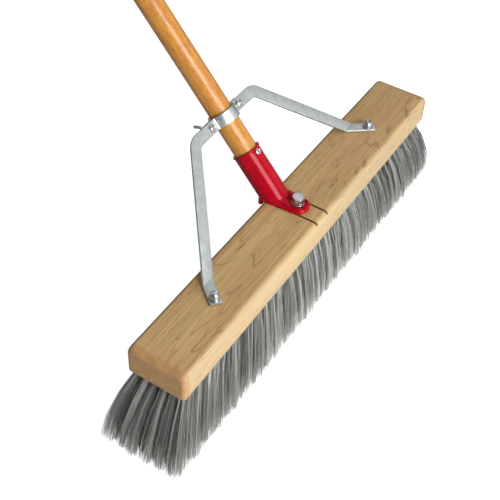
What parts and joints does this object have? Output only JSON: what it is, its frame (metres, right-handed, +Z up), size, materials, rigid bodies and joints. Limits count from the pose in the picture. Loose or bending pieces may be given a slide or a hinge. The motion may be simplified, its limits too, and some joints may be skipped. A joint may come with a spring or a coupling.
{
  "type": "push broom",
  "caption": "Wooden-block push broom with flared synthetic bristles, a leaning wooden handle in a bolted red socket bracket, and a bent strap brace clamped to the handle with wing nuts.",
  "frame": {"origin": "centre of the sweeping face, on the floor that the bristle tips touch", "axes": "+Z up, +X along the block, +Y to the side that the handle leans to"},
  "size_m": [0.5052, 1.0841, 1.2699],
  "materials": {
    "block_wood": "planed pale hardwood, thin clear finish",
    "handle_wood": "turned hardwood under amber lacquer",
    "red_enamel": "glossy red enamel on pressed steel",
    "galvanised_strap": "satin galvanised steel strap",
    "bright_zinc": "bright zinc plated steel",
    "grey_fibre": "grey flagged synthetic fibre"
  },
  "bodies": {
    "broom": {"block": "block_wood", "handle": "handle_wood", "bracket": "red_enamel", "handle_rivet": "bright_zinc", "bracket_bolt": "bright_zinc", "bolt_flat_washer": "bright_zinc", "bolt_lock_washer": "bright_zinc", "tee_nut": "bright_zinc", "brace": "galvanised_strap", "rear_clamp_strap": "galvanised_strap", "clamp_screw_left": "bright_zinc", "clamp_screw_right": "bright_zinc", "wing_washer_left": "bright_zinc", "wing_washer_right": "bright_zinc", "foot_screw_left": "bright_zinc", "foot_screw_right": "bright_zinc", "bristle_row_1": "grey_fibre", "bristle_row_2": "grey_fibre", "bristle_row_3": "grey_fibre", "bristle_row_4": "grey_fibre", "bristle_row_5": "grey_fibre", "bristle_row_6": "grey_fibre"},
    "left_wing_nut": {"wing_nut_left": "bright_zinc"},
    "right_wing_nut": {"wing_nut_right": "bright_zinc"}
  },
  "joints": [
    {"name": "left_wing_nut_turn", "type": "hinge", "parent": "broom", "child": "left_wing_nut", "pos_m": [-0.0226, 0.08815, 0.17361], "axis": [0, 0.7524, -0.6587], "continuous": true},
    {"name": "right_wing_nut_turn", "type": "hinge", "parent": "broom", "child": "right_wing_nut", "pos_m": [0.0226, 0.08815, 0.17361], "axis": [0, 0.7524, -0.6587], "continuous": true}
  ]
}
